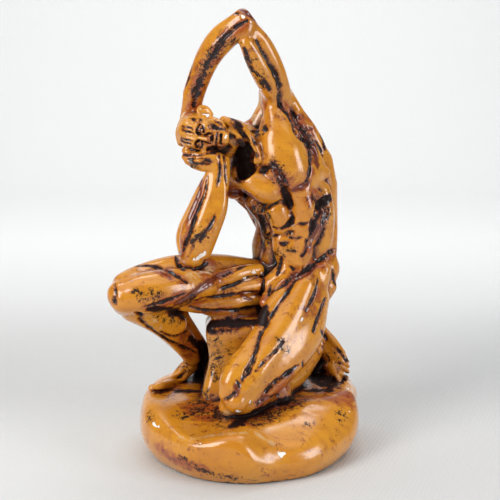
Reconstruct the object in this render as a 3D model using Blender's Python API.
# Crouching flayed figure on a rock base: one plaster casting, metres, +Z up, front to -Y.
# The form is modelled like clay: rounded strands and masses are joined on a grid of distances,
# furrows are cut into it, and one closed skin is drawn round the result.
import math

import bpy
import numpy as np

# Driving sizes of the casting, millimetres
FIGURE_HEIGHT = 242.0
BASE_HEIGHT = 38.0
BASE_RADIUS = 71.0
BASE_FOOT_RADIUS = 62.0
BASE_RIM_RADIUS = 66.5
BASE_FRONT_DROP = 13.5
SEAT_WIDTH = 49.0
SEAT_DEPTH = 51.0
SEAT_HEIGHT = 51.0
SEAT_ROUND = 6.0
SEAT_LEFT = -25.8
SEAT_FRONT = -16.0
FIGURE_SHIFT = 0.9

# How deep pieces are sunk into the rock, and the rock's own unevenness, millimetres
SEAT_SINK = 10.0
SEAT_FLARE = 3.0
EDGE_ROUND = 6.0
BASIN_DEPTH = 2.6
TOP_SWELL = 0.8
SIDE_WAVE = 0.4

# The eye that the figure was laid out from, millimetres, and the sizes it was laid out at
EYE_DISTANCE = 700.0
EYE_HEIGHT = 275.0
LAID_FIGURE = 242.0
LAID_BASE = 38.0

# Fineness of the clay and of the finished skin
CELL = 1.5
FACES = 9700
SPAN_STEPS = 4
FAR = 1000.0
NUDGE = 0.02 * CELL

# Half sizes of the laid-out figure with some air, and the gap that parts two grooves
HALF_WIDTH = 95.0
HALF_DEPTH = 80.0
GROOVE_JUMP = 6.0

# How softly a form runs into the next, millimetres
MASS = 5.0
BELLY = 2.2
CRISP = 1.2


def put(u, w, y):
    """Millimetre point seen at (u, w) from the eye and lying y behind the middle plane."""
    near = (EYE_DISTANCE + y) / EYE_DISTANCE
    unit = FIGURE_HEIGHT / LAID_FIGURE
    z = EYE_HEIGHT + (w - EYE_HEIGHT) * near
    return np.array([u * near * unit + FIGURE_SHIFT, y * unit, BASE_HEIGHT + (z - LAID_BASE) * unit])


def curve(marks, steps=SPAN_STEPS):
    """Smooth path through marks (u, w, y, radius), as rows of x, y, z, radius."""
    unit = FIGURE_HEIGHT / LAID_FIGURE
    rows = np.array([[*put(u, w, y), r * unit] for u, w, y, r in marks])
    if len(rows) == 1:
        return np.vstack([rows, rows + [0.0, 0.0, 0.01, 0.0]])
    ends = np.vstack([2 * rows[0] - rows[1], rows, 2 * rows[-1] - rows[-2]])
    out = []
    for i in range(len(rows) - 1):
        a, b, c, d = ends[i:i + 4]
        for t in np.arange(steps) / steps:
            out.append(0.5 * (2 * b + (c - a) * t + (2 * a - 5 * b + 4 * c - d) * t * t
                              + (3 * b - a - 3 * c + d) * t ** 3))
    return np.vstack([out, rows[-1]])


def soft_min(a, b, blend):
    """The lesser of two distances, with the seam between them rounded."""
    near = np.maximum(blend - np.abs(a - b), 0.0)
    return np.minimum(a, b) - near * near / (4.0 * blend)


class Clay:
    """Distances to the surface on a grid, negative inside."""

    def __init__(self, low, high):
        self.low = np.array(low, float)
        self.count = np.ceil((np.array(high) - self.low) / CELL).astype(int) + 1
        self.field = np.full(self.count, FAR, np.float32)

    def window(self, low, high):
        """Slices of the grid between two corners, and the coordinates in it."""
        first = np.clip(np.floor((low - self.low) / CELL).astype(int), 0, self.count)
        last = np.clip(np.ceil((high - self.low) / CELL).astype(int) + 1, 0, self.count)
        where = tuple(slice(a, b) for a, b in zip(first, last))
        axes = [(self.low[i] + CELL * np.arange(first[i], last[i])).astype(np.float32)
                for i in range(3)]
        return where, (axes[0][:, None, None], axes[1][None, :, None], axes[2][None, None, :])

    def merge(self, where, shape, blend, cut=False):
        old = self.field[where]
        if cut:
            self.field[where] = -soft_min(-old, shape, blend)
        else:
            self.field[where] = soft_min(old, shape, blend)

    def strand(self, marks, blend):
        """A rounded strand along marks (u, w, depth, radius)."""
        self.trail(curve(marks), blend)

    def trail(self, path, blend, cut=False):
        """A strand, or a groove where it cuts, along rows of x, y, z, radius."""
        reach = blend + 2.0 * CELL
        pad = path[:, 3].max() + reach
        where, (x, y, z) = self.window(path[:, :3].min(0) - pad, path[:, :3].max(0) + pad)
        shape = np.full((x.size, y.size, z.size), FAR, np.float32)
        start = np.array([s.start for s in where])
        for a, b in zip(path[:-1], path[1:]):
            pad = max(a[3], b[3]) + reach
            part, (px, py, pz) = self.window(np.minimum(a, b)[:3] - pad, np.maximum(a, b)[:3] + pad)
            inner = tuple(slice(s.start - o, s.stop - o) for s, o in zip(part, start))
            run = b[:3] - a[:3]
            t = ((px - a[0]) * run[0] + (py - a[1]) * run[1] + (pz - a[2]) * run[2])
            t = np.clip(t / max(run @ run, 1e-6), 0.0, 1.0)
            q = [px - a[0] - t * run[0], py - a[1] - t * run[1], pz - a[2] - t * run[2]]
            length = np.sqrt(q[0] ** 2 + q[1] ** 2 + q[2] ** 2)
            radius = a[3] + t * (b[3] - a[3])
            shape[inner] = np.minimum(shape[inner], length - radius)
        self.merge(where, shape, blend, cut)

    def egg(self, mark, radii, blend, tilt, turn):
        """An ellipsoid at mark (u, w, y), tilted about Y and then turned about Z, degrees."""
        unit = FIGURE_HEIGHT / LAID_FIGURE
        centre = put(*mark)
        r = np.array(radii) * unit
        pad = r.max() + blend + 2.0 * CELL
        where, (x, y, z) = self.window(centre - pad, centre + pad)
        x, y, z = x - centre[0], y - centre[1], z - centre[2]
        c, s = math.cos(math.radians(turn)), math.sin(math.radians(turn))
        x, y = c * x + s * y, c * y - s * x
        c, s = math.cos(math.radians(tilt)), math.sin(math.radians(tilt))
        x, z = c * x - s * z, s * x + c * z
        far = np.sqrt((x / r[0]) ** 2 + (y / r[1]) ** 2 + (z / r[2]) ** 2) + 1e-6
        slope = np.sqrt((x / r[0] ** 2) ** 2 + (y / r[1] ** 2) ** 2 + (z / r[2] ** 2) ** 2) + 1e-6
        self.merge(where, far * (far - 1.0) / slope, blend)

    def front(self, line, depth):
        """Points of a line (u, w) thrown on the clay along the line of sight, depth below."""
        ys = np.arange(-HALF_DEPTH, HALF_DEPTH, CELL / 3)
        out = []
        for u, w in line:
            ray = np.array([put(u, w, y) for y in ys])
            spot = np.rint((ray - self.low) / CELL).astype(int)
            ok = np.all((spot >= 0) & (spot < self.count), axis=1)
            spot = np.clip(spot, 0, self.count - 1)
            inside = ok & (self.field[spot[:, 0], spot[:, 1], spot[:, 2]] < 0)
            if inside.any():
                out.append([*put(u, w, ys[inside.argmax()] + depth)])
        return out

    def furrow(self, line, radius, depth):
        """A groove along the line (u, w) as it is seen from the front."""
        hits = np.array(self.front(spread(line), depth - radius))
        if len(hits) < 2:
            return
        fade = np.sin(np.linspace(0.25, math.pi - 0.25, len(hits))) ** 0.5
        unit = FIGURE_HEIGHT / LAID_FIGURE
        runs = np.column_stack([hits, radius * unit * fade])
        jump = np.linalg.norm(np.diff(hits, axis=0), axis=1) > GROOVE_JUMP
        for piece in np.split(runs, np.flatnonzero(jump) + 1):
            if len(piece) > 1:
                self.trail(piece, CRISP, cut=True)


def spread(line, gap=1.2):
    """Evenly laid (u, w) points along a smooth line."""
    rows = np.array(line, float)
    ends = np.vstack([2 * rows[0] - rows[1], rows, 2 * rows[-1] - rows[-2]])
    out = []
    for i in range(len(rows) - 1):
        a, b, c, d = ends[i:i + 4]
        steps = max(2, int(np.linalg.norm(c - b) / gap))
        for t in np.arange(steps) / steps:
            out.append(0.5 * (2 * b + (c - a) * t + (2 * a - 5 * b + 4 * c - d) * t * t
                              + (3 * b - a - 3 * c + d) * t ** 3))
    out.append(rows[-1])
    return out


def add_base(clay):
    """Rounded rock: bulging side, top that falls towards the front, flat underside."""
    pad = BASE_RADIUS + 4.0
    where, (x, y, z) = clay.window(np.array([-pad, -pad, -3.0]),
                                   np.array([pad, pad, BASE_HEIGHT + 6.0]))
    bearing = np.arctan2(y, x)
    waves = np.sin(3 * bearing + 0.6) + 0.9 * np.sin(7 * bearing + 2.0) + 0.6 * np.sin(11 * bearing)
    middle = BASE_HEIGHT / 2
    low = (BASE_RADIUS - BASE_FOOT_RADIUS) * np.clip((middle - z) / middle, 0, 1.5) ** 2
    high = (BASE_RADIUS - BASE_RIM_RADIUS) * np.clip((z - middle) / middle, 0, 1.5) ** 2
    side = np.sqrt(x * x + y * y) - (BASE_RADIUS - low - high + SIDE_WAVE * waves)
    across, back = x / BASE_RADIUS, y / BASE_RADIUS
    reach = np.clip((-back - 0.22) / 0.66, 0.0, 1.0)
    share = 0.95 + 0.35 * np.tanh((across - 0.113) / 0.141)
    share = share - 0.45 * np.exp(-((across + 0.028) / 0.225) ** 2)
    drop = BASE_FRONT_DROP * share * reach * reach * (3.0 - 2.0 * reach)
    basin = BASIN_DEPTH * np.exp(-((across + 0.465) / 0.24) ** 2 - ((back + 0.507) / 0.197) ** 2)
    swell = TOP_SWELL * np.sin(7.9 * across + 1.0) * np.sin(6.45 * back)
    top = z - (BASE_HEIGHT - drop - basin + swell)
    rock = -soft_min(-side, -top, EDGE_ROUND)
    clay.merge(where, -soft_min(-rock, z * np.ones_like(rock), 1.0), 0.5)


def add_rim(clay):
    """The rock's edge, raised under the toes of the left foot."""
    clay.strand(((52, 34, 8, 6), (61, 35, 14, 6.6), (62.5, 37, 22, 6.4), (60, 41, 34, 6)), MASS)


def add_seat(clay):
    """The block under the right thigh, a little wider at its foot."""
    foot = np.array([SEAT_LEFT, SEAT_FRONT, BASE_HEIGHT - SEAT_SINK])
    size = np.array([SEAT_WIDTH, SEAT_DEPTH, SEAT_HEIGHT + SEAT_SINK])
    pad = 3.0 * SEAT_FLARE
    where, (x, y, z) = clay.window(foot - pad, foot + size + pad)
    rise = np.clip((z - BASE_HEIGHT) / SEAT_HEIGHT, -0.2, 1.2)
    flare = SEAT_FLARE * (1.0 - rise) ** 3 + 1.1 * np.sin(z / 6.0 + 0.8)
    middle = foot + size / 2
    qx = np.abs(x - middle[0]) - size[0] / 2 - flare + SEAT_ROUND
    qy = np.abs(y - middle[1]) - size[1] / 2 - flare + SEAT_ROUND
    qz = np.abs(z - middle[2]) - size[2] / 2 + SEAT_ROUND
    out = np.sqrt(np.maximum(qx, 0) ** 2 + np.maximum(qy, 0) ** 2 + np.maximum(qz, 0) ** 2)
    shape = out + np.minimum(np.maximum(np.maximum(qx, qy), qz), 0.0) - SEAT_ROUND
    clay.merge(where, shape, 4.0)


# Limbs and trunk as plain rods: softness, then marks (u, w, depth, radius) along each
CORES = (
    (8.0, ((27, 118, 20, 17), (29, 140, 19, 17), (27, 160, 19, 18), (20, 184, 18, 15))),
    (MASS, ((8, 190, 12, 12), (0, 197, 6, 11), (-10, 203, -1, 10))),
    (MASS, ((34, 112, 6, 15), (30, 95, -2, 15.5), (20, 67, -18, 14.5), (5, 47, -30, 12.5),
            (-7, 34, -38, 11.5))),
    (MASS, ((-1, 33, -30, 9.5), (15, 40, -8, 10), (28, 50, 12, 9.5), (39, 62, 28, 6.5),
            (45.5, 72, 38, 5))),
    (MASS, ((10, 108, 22, 17), (-15, 108, 8, 17), (-40, 108.5, -8, 15.5), (-62, 104, -22, 14),
            (-75, 103, -33, 13))),
    (MASS, ((-73, 94, -30, 10), (-59, 85, -18, 8.5), (-49, 75, -2, 7), (-39.5, 62, 18, 5),
            (-37, 55, 28, 5))),
    (3.0, ((20, 212, 14, 9), (14, 230, 6, 7.5), (6, 248, -5, 7), (-3, 268, -12, 6))),
    (3.0, ((-4, 270, -13, 6), (-19.5, 258, -8, 7.6), (-26, 248.5, -3, 6.2), (-31.5, 237, 2, 5.6),
           (-35.5, 226, 6, 5.7), (-36.7, 216, 9, 5.6))),
    (3.0, ((-37, 128, -2, 8), (-38, 140, 6, 8.5), (-31, 155, 16, 9), (-20, 172, 22, 11),
           (-8, 185, 18, 12), (4, 188, 18, 13))),
    (3.0, ((-36, 126, -13, 7), (-31, 142, -15, 8.5), (-25, 158, -15, 8), (-21, 174, -14, 6),
           (-20, 187, -13, 5.2))),
)

# Muscles of the legs, in the same form
LEGS = (
    # left thigh
    (BELLY, ((24, 108, -8, 4), (13, 92, -17, 5), (7, 78, -22, 5), (0, 67, -30, 5))),
    (BELLY, ((2, 66, -28, 6), (-5, 56, -36, 8), (-11, 45, -42, 8), (-14, 36, -44, 6))),
    (BELLY, ((35, 108, -9, 6), (25, 88, -17, 8.5), (12, 66, -30, 8.5), (4, 50, -40, 7),
             (-4, 39, -46, 5))),
    (BELLY, ((43, 98, 2, 7), (36, 76, -9, 10.5), (24, 59, -20, 10.5), (10, 43, -30, 9),
             (2, 33, -36, 6))),
    (BELLY, ((44, 98, 8, 5), (41, 82, 4, 5.6), (37, 69, -2, 6), (32, 58, -4, 5))),
    (BELLY, ((-9, 31, -46, 7.5),)),
    (BELLY, ((-14, 27, -38, 6), (-4, 26, -34, 6), (4, 31, -26, 6))),
    # left calf and foot
    (BELLY, ((6, 40, -14, 8), (20, 50, 4, 9.5), (31, 60, 18, 8), (40, 68, 30, 5))),
    (BELLY, ((4, 32, -24, 6), (16, 38, -6, 7), (29, 47, 12, 6.5), (38, 57, 26, 4.5),
             (44, 66, 34, 4))),
    (CRISP, ((14, 35, -12, 2.6), (26, 41, 4, 2.6), (35, 50, 18, 2.2), (41, 60, 28, 2))),
    (BELLY, ((46, 75, 40, 5.5), (43.5, 80, 46, 4.8))),
    (BELLY, ((47, 74, 38, 5), (52.5, 65.5, 34, 6.6), (57, 58, 29, 6.4))),
    (CRISP, ((46, 79, 38, 3), (53, 71, 32, 3), (59, 63, 28, 2.6))),
    (CRISP, ((48, 66, 32, 3.4), (53, 58, 27, 3.2), (56, 51, 22, 3))),
    (BELLY, ((45.5, 73.5, 33, 3.2),)),
    (CRISP, ((44, 81, 46, 3.5), (41, 70, 42, 3), (36, 59, 34, 3))),
    # web of plaster between left shin and foot
    (BELLY, ((40, 44, 38, 6), (49, 42, 36, 6), (57, 43, 34, 6))),
    (BELLY, ((41, 53, 40, 5.5), (46, 59, 43, 5.5), (52, 51, 40, 6))),
    # right thigh
    (BELLY, ((-30, 108, -20, 9), (-48, 106, -30, 12), (-66, 103, -38, 12.5), (-79, 100, -41, 10))),
    (BELLY, ((8, 116, 12, 8), (-20, 119, 2, 9), (-48, 118, -13, 9), (-70, 112, -26, 8.5),
             (-80, 109, -33, 6.5))),
    (BELLY, ((5, 118, 0, 4), (-8, 115, -8, 5), (-22, 110, -14, 5), (-36, 103, -20, 5),
             (-52, 97, -26, 5), (-64, 93, -32, 4.5))),
    (BELLY, ((5, 108, -2, 5), (-12, 105, -9, 6), (-30, 101, -16, 5.5), (-42, 98, -20, 4))),
    (BELLY, ((5, 100, 0, 5), (-12, 96.5, -8, 6), (-30, 95.5, -14, 6), (-44, 96, -20, 4.5))),
    (BELLY, ((4, 92, 2, 5), (-12, 91, -6, 5.5), (-28, 93.5, -10, 5))),
    (BELLY, ((-82, 102, -40, 8.2),)),
    (BELLY, ((-81, 95, -38, 6), (-76, 94, -34, 6))),
    # right calf and foot
    (CRISP, ((-66, 92, -20, 7), (-57, 87, -15, 9), (-49, 82.5, -8, 8.4))),
    (BELLY, ((-44, 78, 0, 4.5), (-39.5, 70, 8, 5), (-36, 60, 20, 4.5))),
    (CRISP, ((-76, 91, -36, 3.6), (-62, 82, -22, 3.6), (-50, 73, -6, 3.2), (-41, 65, 10, 3.2))),
    (CRISP, ((-43, 88, 2, 4), (-37, 77, 14, 4.6), (-31.5, 67, 24, 4.6), (-31, 54, 34, 5.5),
             (-31, 46, 38, 6))),
    (BELLY, ((-38, 56, 26, 5.2), (-43, 50.5, 21, 5.2), (-50, 43.6, 15, 4), (-58, 41, 9, 3.4))),
    (BELLY, ((-31, 45, 40, 6), (-41, 41.5, 26, 6), (-52, 39, 15, 4.6))),
    (CRISP, ((-40, 55, 21, 1.3), (-46, 49, 15, 1.3), (-52, 46, 10, 1.2), (-59, 43, 6, 1.1))),
    (CRISP, ((-37, 51, 22, 1.4), (-43, 45.5, 15, 1.3), (-50, 43.6, 10, 1.2))),
    # plaster left between the thigh and the seat
    (BELLY, ((-23, 84, 4, 4.5), (-8, 84, 4, 5), (6, 85, 6, 6))),
)

# Muscles of the pelvis, belly, chest, shoulders, neck and back
TRUNK = (
    # pelvis
    (MASS, ((42, 108, 28, 12.5), (41, 112, 22, 12.5))),
    (MASS, ((12, 104, 36, 16),)),
    (MASS, ((46, 119, 17, 11), (38, 126, 14, 8))),
    (BELLY, ((46, 118, 3, 5.5), (44, 110, 2, 6), (43, 102, 2, 5.5))),
    (BELLY, ((44, 95, 14, 4), (49, 107, 14, 6.2))),
    (BELLY, ((24, 116, 0, 8), (14, 108, -2, 7))),
    (CRISP, ((11, 101, -8, 3.2), (9.5, 96.5, -11, 3.6))),
    # belly
    (BELLY, ((26, 122, 3, 8), (22, 133, 1, 8), (21, 140, 1, 7))),
    (CRISP, ((20, 148, -1.5, 7), (18, 155, -3.5, 7.2))),
    (BELLY, ((31, 122, 3, 8), (32, 133, 1, 8), (33, 143, 0, 7.6))),
    (CRISP, ((34, 149, -1, 7), (34, 158, -2.5, 7), (33, 166, -3, 6))),
    (BELLY, ((41, 124, 11, 8), (45, 140, 10, 7.5), (46, 154, 9, 7), (45, 166, 8, 6))),
    (BELLY, ((48, 122, 18, 6.5), (49, 138, 18, 6.2), (48.3, 152, 20, 6.8), (46, 172, 20, 8.6))),
    (BELLY, ((13, 126, 12, 7), (14, 138, 10, 6.5), (11, 150, 6, 6.2), (3, 161, 3, 6.2))),
    (CRISP, ((-7, 169, 12, 6.5), (3, 157.5, 14, 5), (9, 150, 15, 5), (12, 143, 16, 5),
             (10, 134, 18, 5.5), (9, 126, 18, 6))),
    # chest
    (BELLY, ((15, 220, 5, 5.5), (19, 206, 0, 9), (24.5, 192, -3, 11.5), (26, 182, -4, 10.5),
             (24, 175, -4, 6))),
    (BELLY, ((12, 199, -3, 7), (12, 188, -5, 7), (16, 178, -5, 6.5))),
    (BELLY, ((-7, 178, 0, 7), (2, 174, -4, 8.5), (10, 169, -6, 8.5), (15, 166, -7, 5))),
    (BELLY, ((-10, 170, 4, 7), (-6, 180, 6, 8), (0, 186, 0, 7))),
    (CRISP, ((4, 188, -9, 3), (7, 200, -3, 3), (10, 212, 4, 3.4))),
    # side of the chest and broad back
    (BELLY, ((30.5, 217, 12, 4), (36, 206, 12, 5.5), (41.5, 193, 14, 6.5), (46, 177, 17, 7.5),
             (47, 160, 18, 6.5))),
    (BELLY, ((29, 214, 6, 3), (33, 203, 4, 4), (39, 191, 5, 4.5), (43, 179, 7, 4))),
    (CRISP, ((38, 186, 0, 3.5), (46, 180, 8, 4))),
    (CRISP, ((37, 177, -2, 3.5), (46, 170, 8, 4))),
    (CRISP, ((38, 168, -2, 3.5), (47, 161, 8, 4))),
    (CRISP, ((36, 160, -2, 3.2), (45, 152, 6, 4))),
    # shoulders
    (BELLY, ((22, 222, 14, 6), (25, 212, 18, 8), (29, 200, 24, 10))),
    (BELLY, ((5, 209, 14, 6.5), (10, 221, 14, 5.5), (10.5, 231, 11, 5), (13.5, 238, 7, 5))),
    (BELLY, ((-2, 204, 14, 7), (8, 208, 18, 8), (18, 212, 20, 8))),
    # neck
    (MASS, ((-24, 195, 6, 5.5), (-13, 195, 8, 7.5), (-4, 192, 10, 9))),
    (CRISP, ((-16, 212, -6, 3), (-7, 209, -9, 2.6), (-0.5, 202, -10, 2.4), (3.5, 194, -10, 2.4),
             (5.5, 188, -9, 2.4))),
    (CRISP, ((-13, 205, -10, 2.2), (-7, 202, -11, 2.2), (-3.5, 196, -11.5, 2.1),
             (1, 190, -11, 2.2))),
    # back, plainer
    (BELLY, ((32, 120, 38, 7.5), (33, 145, 37, 7), (30, 168, 39, 7.5), (25, 188, 36, 7))),
    (BELLY, ((18, 120, 39, 7.5), (18, 145, 37, 7), (14, 168, 39, 7.5), (9, 186, 35, 7))),
    (3.0, ((34, 205, 30, 5), (33, 192, 38, 6.5), (30, 180, 42, 4))),
    (3.0, ((-6, 198, 26, 5), (1, 186, 37, 6.5), (7, 174, 41, 4))),
    (3.0, ((45, 186, 20, 5), (41, 164, 32, 6), (32, 140, 40, 5))),
    (3.0, ((-8, 180, 22, 5), (3, 158, 34, 6), (14, 138, 40, 5))),
    (BELLY, ((2, 204, 18, 5), (12, 196, 34, 6), (19, 176, 43, 5))),
    (BELLY, ((24, 214, 20, 5), (26, 200, 34, 6), (23, 178, 43, 5))),
    (BELLY, ((40, 110, 38, 11), (34, 104, 42, 10))),
    (BELLY, ((14, 108, 42, 12), (4, 104, 36, 11))),
    (BELLY, ((-4, 100, 30, 8), (-30, 102, 14, 8.5), (-56, 100, -6, 7))),
)

# Muscles of the arms and the hands
ARMS = (
    # left upper arm and forearm
    (BELLY, ((15, 226, 1, 5), (10, 237, -4, 6.8), (4, 248, -10, 6.4), (-2, 259, -15, 4.5))),
    (BELLY, ((24, 226, 8, 5), (17.5, 242, -1, 6.2), (9, 257, -7, 6), (0, 268, -11, 5))),
    (BELLY, ((-5, 273.5, -13, 6.3),)),
    (BELLY, ((-3, 266, -15, 4.5), (-11, 263.5, -14, 5), (-19, 256, -10, 5.5), (-25, 245, -5, 4.5),
             (-29, 232, 1, 3.8))),
    (BELLY, ((-8, 272, -12, 5), (-19, 263.5, -8, 5.5), (-27, 253, -3, 5), (-33, 241, 2, 4),
             (-37, 229, 6, 3.8))),
    # left hand, behind the head
    (CRISP, ((-33, 218, 8, 3.6), (-33, 210, 12, 3.8), (-31, 203, 15, 3.6))),
    (CRISP, ((-38, 218, 9, 4.4), (-39, 210, 12, 4.6), (-37, 202, 15, 4))),
    # right forearm
    (BELLY, ((-38, 129, -12, 5.5), (-38, 141, -14, 6), (-33, 155, -15, 5.2), (-27, 170, -15, 4),
             (-23.5, 182, -14, 3.4))),
    (BELLY, ((-29, 130, -16, 5), (-25, 143, -18, 6), (-19.5, 157, -18, 5.2), (-17.5, 172, -16, 4),
             (-18, 184, -15, 3.6))),
    (CRISP, ((-16, 168, -14, 2.2), (-14.5, 178, -14, 2), (-14.5, 188, -13, 2))),
    (BELLY, ((-37, 123, -14, 5.2),)),
    # right hand, under the head
    (CRISP, ((-18, 186, -14, 4.6), (-24, 189, -15, 4.6), (-31, 187.5, -16, 4.2))),
    (CRISP, ((-24, 190.5, -14, 3), (-33, 190, -15, 2.8), (-40, 189.5, -12, 2.4))),
    (CRISP, ((-24, 186, -16, 3), (-32, 185, -16, 2.8), (-38.5, 187, -13, 2.4))),
    (CRISP, ((-22, 184, -16, 3), (-29, 183, -16, 2.6), (-35, 184.5, -14, 2.3))),
)

# Masses: (u, w, depth), radii, softness, tilt about Y, turn about Z
MASSES = (
    ((26, 112, 20), (27, 20, 20), MASS, 8, 15),
    ((21, 180, 19), (28, 32, 24.5), MASS, -20, 8),
    ((30, 150, 18), (23, 24, 19), 8.0, -4, 10),
)

# Furrows that show from a step away: line (u, w), radius, depth
FURROWS = (
    (((28.8, 105), (20, 98.4), (14.8, 90), (10, 81), (5, 72)), 1.6, 1.6),
    (((5, 70), (3.2, 61), (0.8, 56), (-2.3, 50), (-5.3, 45)), 1.6, 1.6),
    (((20, 68.7), (13.5, 63.6), (7.5, 56), (3.8, 50.8)), 1.6, 1.5),
    (((43, 111), (39.7, 99), (35.4, 91.5)), 1.6, 1.6),
    (((-17.6, 106), (-9, 109), (-0.4, 112.2)), 1.5, 1.6),
    (((-34.7, 97.8), (-26, 99.7), (-13.9, 101.3), (3.2, 104)), 1.5, 1.6),
    (((-38.4, 93.7), (-29.2, 91.5), (-13.9, 90.9), (3.8, 94)), 1.5, 1.5),
    (((-66.9, 93.6), (-59, 96), (-46.7, 101)), 1.6, 1.6),
    (((-70.5, 84.8), (-63.9, 79), (-55.5, 73.4), (-48.4, 69.6), (-40, 65.8)), 1.5, 1.5),
    (((54.5, 132), (50.3, 128.8), (45.2, 125), (36.3, 118), (24.2, 111), (15.8, 105.2)), 2.2, 2.4),
    (((18.5, 221.7), (25.7, 211.5), (30.4, 201.8), (36.4, 194.6), (37.4, 185.4), (35.7, 175.5),
      (29, 170), (23.5, 171)), 2.0, 2.4),
    (((7.4, 181.4), (10, 182), (13, 183.4), (16, 184.6)), 1.9, 1.8),
    (((14, 184), (18.6, 178.2), (21.4, 173)), 1.5, 1.6),
    (((19.4, 172), (21.2, 169), (23.2, 164.6), (24.8, 159.6)), 3.2, 2.8),
    (((25.4, 157), (27, 152.6), (25.6, 148.8), (22, 146), (15, 145.4)), 1.8, 2.0),
    (((24.4, 143), (24.6, 134), (25, 124)), 1.5, 1.4),
    (((29.6, 147.6), (33.5, 147), (38, 148.4)), 1.4, 1.4),
    (((42.3, 157), (39.5, 147.4), (38.7, 136.7), (34.8, 128.7)), 1.8, 2.0),
    (((4, 259.5), (10.4, 248.7), (16.8, 238.8), (19.1, 229.5), (19.7, 220)), 1.4, 1.6),
    (((-2.3, 271.7), (-10.4, 267), (-17.4, 260.7), (-21.5, 252.7), (-23.8, 249.2)), 1.4, 1.5),
    (((-26.5, 176), (-28, 168), (-31, 160), (-34, 153), (-36.5, 145), (-39.5, 137)), 1.4, 1.5),
    (((-22, 153), (-24, 147), (-28, 142), (-32, 135)), 1.4, 1.4),
    (((-10, 165), (-2, 160), (6.6, 157), (14.4, 159), (19, 165)), 1.8, 2.2),
)

# The head: middle (u, w, depth), height from chin to crown, and the way that it lies
HEAD_AT = (-29.0, 204.5, -8.0)
HEAD_HEIGHT = 33.5
CROWN_WAY = (-0.985, 0.03, 0.10)
FACE_WAY = (-0.06, -0.985, -0.16)


def head_axes():
    """Side, face and crown directions of the head."""
    up = np.array(CROWN_WAY) / np.linalg.norm(CROWN_WAY)
    out = np.array(FACE_WAY) - np.dot(FACE_WAY, up) * up
    out /= np.linalg.norm(out)
    return np.cross(up, -out), out, up


def add_head(clay):
    """A calm, evenly proportioned head, built from shares of its height."""
    unit = FIGURE_HEIGHT / LAID_FIGURE
    side, out, up = head_axes()
    middle = put(*HEAD_AT)
    size = HEAD_HEIGHT * unit

    def spot(s, o, u, r):
        return [*(middle + size * (s * side + o * out + u * up)), r * size]

    def line(marks, blend, cut=False):
        rows = np.array([spot(*m) for m in marks])
        if len(rows) == 1:
            rows = np.vstack([rows, rows + [0.0, 0.0, 0.01, 0.0]])
        clay.trail(rows, blend, cut)

    line(((0, -0.13, 0.16, 0.325), (0, -0.01, 0.16, 0.315)), 2.0)
    line(((0, 0.06, -0.02, 0.25), (0, 0.10, -0.20, 0.195), (0, 0.14, -0.34, 0.13)), 1.6)
    for way in (-1, 1):
        # jaw, cheekbone, brow, socket, eyeball
        line(((way * 0.26, -0.01, -0.12, 0.07), (way * 0.21, 0.05, -0.30, 0.07),
              (way * 0.07, 0.21, -0.42, 0.07)), 1.2)
        line(((way * 0.30, 0.02, 0.0, 0.045), (way * 0.225, 0.23, -0.05, 0.062),
              (way * 0.13, 0.285, -0.085, 0.05)), 0.9)
        line(((way * 0.25, 0.19, 0.10, 0.045), (way * 0.14, 0.31, 0.13, 0.05),
              (way * 0.04, 0.33, 0.11, 0.045)), 0.9)
        line(((way * 0.135, 0.40, 0.03, 0.088),), 0.9, cut=True)
        line(((way * 0.13, 0.27, 0.03, 0.07),), 0.6)
        # wing of the nose, chewing muscle, strand from the cheekbone to the mouth
        line(((way * 0.052, 0.345, -0.15, 0.034),), 0.8)
        line(((way * 0.255, 0.13, -0.07, 0.045), (way * 0.245, 0.09, -0.19, 0.055),
              (way * 0.20, 0.10, -0.32, 0.045)), 0.8)
        line(((way * 0.235, 0.25, -0.08, 0.03), (way * 0.17, 0.29, -0.17, 0.034),
              (way * 0.115, 0.295, -0.25, 0.028)), 0.8)
        # ear
        line(((way * 0.315, 0.0, 0.06, 0.03), (way * 0.375, -0.05, 0.11, 0.036),
              (way * 0.415, -0.10, 0.06, 0.038), (way * 0.40, -0.09, -0.03, 0.036),
              (way * 0.345, -0.03, -0.11, 0.036)), 0.8)
        line(((way * 0.36, -0.075, 0.05, 0.04), (way * 0.355, -0.07, -0.04, 0.038)), 0.8)
        # temple
        line(((way * 0.28, 0.05, 0.28, 0.05), (way * 0.30, 0.08, 0.12, 0.05)), 0.9)
    line(((0, 0.325, 0.09, 0.036), (0, 0.37, -0.02, 0.038), (0, 0.41, -0.125, 0.046)), 0.9)
    line(((-0.10, 0.285, -0.262, 0.028), (0, 0.33, -0.248, 0.034), (0.10, 0.285, -0.262, 0.028)), 0.7)
    line(((-0.085, 0.285, -0.292, 0.026), (0, 0.325, -0.312, 0.038),
          (0.085, 0.285, -0.292, 0.026)), 0.7)
    line(((-0.03, 0.27, -0.425, 0.07), (0.03, 0.27, -0.425, 0.07)), 0.9)


def add_fingers(clay):
    """Fingers of the left hand, laid over the crown."""
    for finger in range(4):
        y = -9.0 + 3.9 * finger
        bow = 0.035 * (y + 4.0) ** 2
        clay.strand(((-37.0, 217.5, 5.0, 3.0), (-41.6 + bow, 212, y + 1.5, 2.1),
                     (-44.4 + bow, 205, y, 1.8), (-43.8 + bow, 199.5 - 0.8 * finger, y, 1.6)), 0.8)


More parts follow.
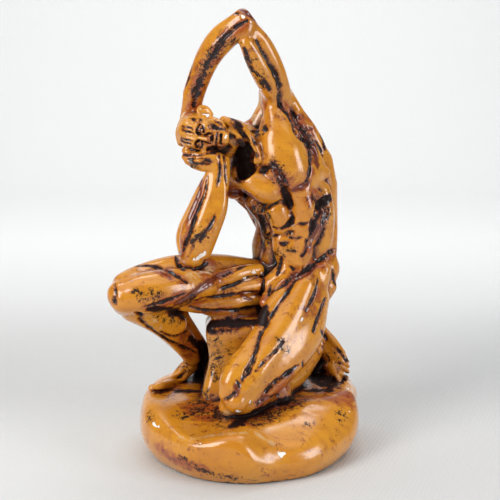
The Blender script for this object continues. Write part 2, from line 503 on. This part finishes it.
def add_toes(clay):
    """Five toes on each foot, the great toe first."""
    left = ((62.2, 41.2, 14), (63, 46.4, 17), (63.6, 50.6, 20), (63.8, 54, 23), (63.6, 57, 26))
    for i, (u, w, y) in enumerate(left):
        r = 2.5 if i == 0 else 1.9 - 0.1 * i
        root = (52.5 + 0.7 * i, 54 + 3.4 * i, 25 + 2 * i, r + 1.4)
        middle = (u - 4.6, w + 2.4 + 0.3 * i, y + 2.6, r + 0.2)
        clay.strand((root, middle, (u - 0.8, w + 0.2, y, r)), CRISP)
    for i in range(5):
        r = 2.9 if i == 0 else 2.4 - 0.1 * i
        reach = (-63.0, -63.5, -62.5, -60.5, -58.0)[i]
        y = -2.0 + 5.0 * i
        clay.strand(((-50 + 0.4 * i, 42.0, 11 + 2.2 * i, r + 1.4),
                     (reach + 6, 41.0, y + 1.5, r), (reach, 39.5 + 0.3 * i, y, r - 0.2)), CRISP)


def sculpt():
    """All the clay of the casting."""
    unit = FIGURE_HEIGHT / LAID_FIGURE
    wide = max(BASE_RADIUS + EDGE_ROUND, HALF_WIDTH * unit)
    deep = max(BASE_RADIUS + EDGE_ROUND, HALF_DEPTH * unit)
    clay = Clay((-wide, -deep, -6.0), (wide, deep, BASE_HEIGHT + FIGURE_HEIGHT + 8.0))
    for soft, marks in CORES:
        clay.strand(marks, soft)
    for mark, radii, soft, tilt, turn in MASSES:
        clay.egg(mark, radii, soft, tilt, turn)
    for soft, marks in LEGS + TRUNK + ARMS:
        clay.strand(marks, soft)
    add_head(clay)
    add_fingers(clay)
    for line, radius, depth in FURROWS:
        clay.furrow(line, radius, depth)
    add_toes(clay)
    add_seat(clay)
    add_base(clay)
    add_rim(clay)
    return clay


def tidy_signs(field):
    """Fills grid corners so that no cell has two sheets of skin through it."""
    for _ in range(12):
        changed = 0
        inside = field < 0
        for a in range(3):
            b = (a + 1) % 3
            rows = [slice(None)] * 3
            views = []
            for da, db in ((0, 0), (1, 0), (1, 1), (0, 1)):
                rows[a] = slice(da, inside.shape[a] - 1 + da)
                rows[b] = slice(db, inside.shape[b] - 1 + db)
                views.append((inside[tuple(rows)], field[tuple(rows)]))
            p, q, r, s = [v[0] for v in views]
            crossed = (p == r) & (q == s) & (p != q)
            changed += int(crossed.sum())
            for sign, value in views:
                value[crossed & ~sign] = -NUDGE
        n = inside.shape
        inside = field < 0
        for da, db in ((0, 0), (0, 1), (1, 0), (1, 1)):
            corners = {}
            for i in (0, 1):
                for j in (0, 1):
                    for k in (0, 1):
                        corners[i, j, k] = inside[i:n[0] - 1 + i, j:n[1] - 1 + j, k:n[2] - 1 + k]
            total = sum(c.astype(np.uint8) for c in corners.values())
            one, two = corners[0, da, db], corners[1, 1 - da, 1 - db]
            lone = (total == 2) & one & two
            hole = (total == 6) & ~one & ~two
            changed += int(lone.sum() + hole.sum())
            target = field[1:n[0], da:n[1] - 1 + da, db:n[2] - 1 + db]
            target[lone] = -NUDGE
            spot = field[0:n[0] - 1, da:n[1] - 1 + da, db:n[2] - 1 + db]
            spot[hole] = -NUDGE
        if not changed:
            return


def skin(clay):
    """Vertices (mm) and outward four-sided faces of the surface."""
    tidy_signs(clay.field)
    field = clay.field
    inside = field < 0
    n = [s - 1 for s in field.shape]
    corner = [(i, j, k) for i in (0, 1) for j in (0, 1) for k in (0, 1)]
    total = np.zeros(n, np.uint8)
    for i, j, k in corner:
        total += inside[i:n[0] + i, j:n[1] + j, k:n[2] + k]
    active = (total > 0) & (total < 8)
    cells = np.argwhere(active)
    number = np.full(n, -1, np.int32)
    number[active] = np.arange(len(cells))
    value = {c: field[tuple((cells + c).T)] for c in corner}
    total = np.zeros((len(cells), 3))
    hits = np.zeros(len(cells))
    for c in corner:
        for axis in range(3):
            if c[axis]:
                continue
            d = tuple(1 if i == axis else c[i] for i in range(3))
            a, b = value[c], value[d]
            cross = (a < 0) != (b < 0)
            t = np.where(cross, a / np.where(cross, a - b, 1.0), 0.0)
            point = np.tile(np.array(c, float), (len(cells), 1))
            point[:, axis] += t
            total += point * cross[:, None]
            hits += cross
    verts = clay.low + CELL * (cells + total / hits[:, None])
    faces = []
    for axis in range(3):
        b, c = (axis + 1) % 3, (axis + 2) % 3
        here = [slice(1, -1)] * 3
        here[axis] = slice(0, -1)
        there = list(here)
        there[axis] = slice(1, None)
        first, second = inside[tuple(here)], inside[tuple(there)]
        edges = np.argwhere(first != second)
        out = first[tuple(edges.T)]
        shift = np.ones(3, int)
        shift[axis] = 0
        edges = edges + shift
        ring = []
        for db, dc in ((-1, -1), (0, -1), (0, 0), (-1, 0)):
            spot = edges.copy()
            spot[:, b] += db
            spot[:, c] += dc
            ring.append(number[tuple(spot.T)])
        ring = np.stack(ring, axis=1)
        ring[~out] = ring[~out][:, ::-1]
        faces.append(ring)
    return verts, np.vstack(faces)


def largest(verts, faces):
    """Only the outer shell: no loose crumbs, no sealed hollows."""
    label = np.arange(len(verts))
    while True:
        least = label[faces].min(axis=1)
        new = label.copy()
        for i in range(4):
            np.minimum.at(new, faces[:, i], least)
        new = new[new]
        if np.array_equal(new, label):
            break
        label = new
    names, sizes = np.unique(label, return_counts=True)
    keep = label == names[sizes.argmax()]
    renumber = np.cumsum(keep) - 1
    return verts[keep], renumber[faces[keep[faces[:, 0]]]]


def plaster():
    """Ochre paint under a glossy varnish."""
    material = bpy.data.materials.new("painted_plaster")
    material.use_nodes = True
    shader = material.node_tree.nodes["Principled BSDF"]
    shader.inputs["Base Color"].default_value = (0.50, 0.21, 0.035, 1.0)
    shader.inputs["Roughness"].default_value = 0.28
    shader.inputs["Metallic"].default_value = 0.0
    return material


def build():
    for ob in list(bpy.data.objects):
        bpy.data.objects.remove(ob)
    verts, faces = largest(*skin(sculpt()))
    verts[:, 2] = np.maximum(verts[:, 2], 0.0)
    mesh = bpy.data.meshes.new("statuette")
    mesh.from_pydata((verts / 1000.0).tolist(), [], faces.tolist())
    ob = bpy.data.objects.new("statuette", mesh)
    bpy.context.collection.objects.link(ob)
    bpy.context.view_layer.objects.active = ob
    thin = ob.modifiers.new("thin", "DECIMATE")
    thin.ratio = FACES / (2.0 * len(faces))
    thin.use_collapse_triangulate = True
    view = bpy.context.evaluated_depsgraph_get()
    done = bpy.data.meshes.new_from_object(ob.evaluated_get(view))
    ob.modifiers.remove(thin)
    ob.data = done
    done.name = "statuette"
    done.materials.clear()
    done.materials.append(plaster())
    bpy.data.meshes.remove(mesh)
    return ob


build()
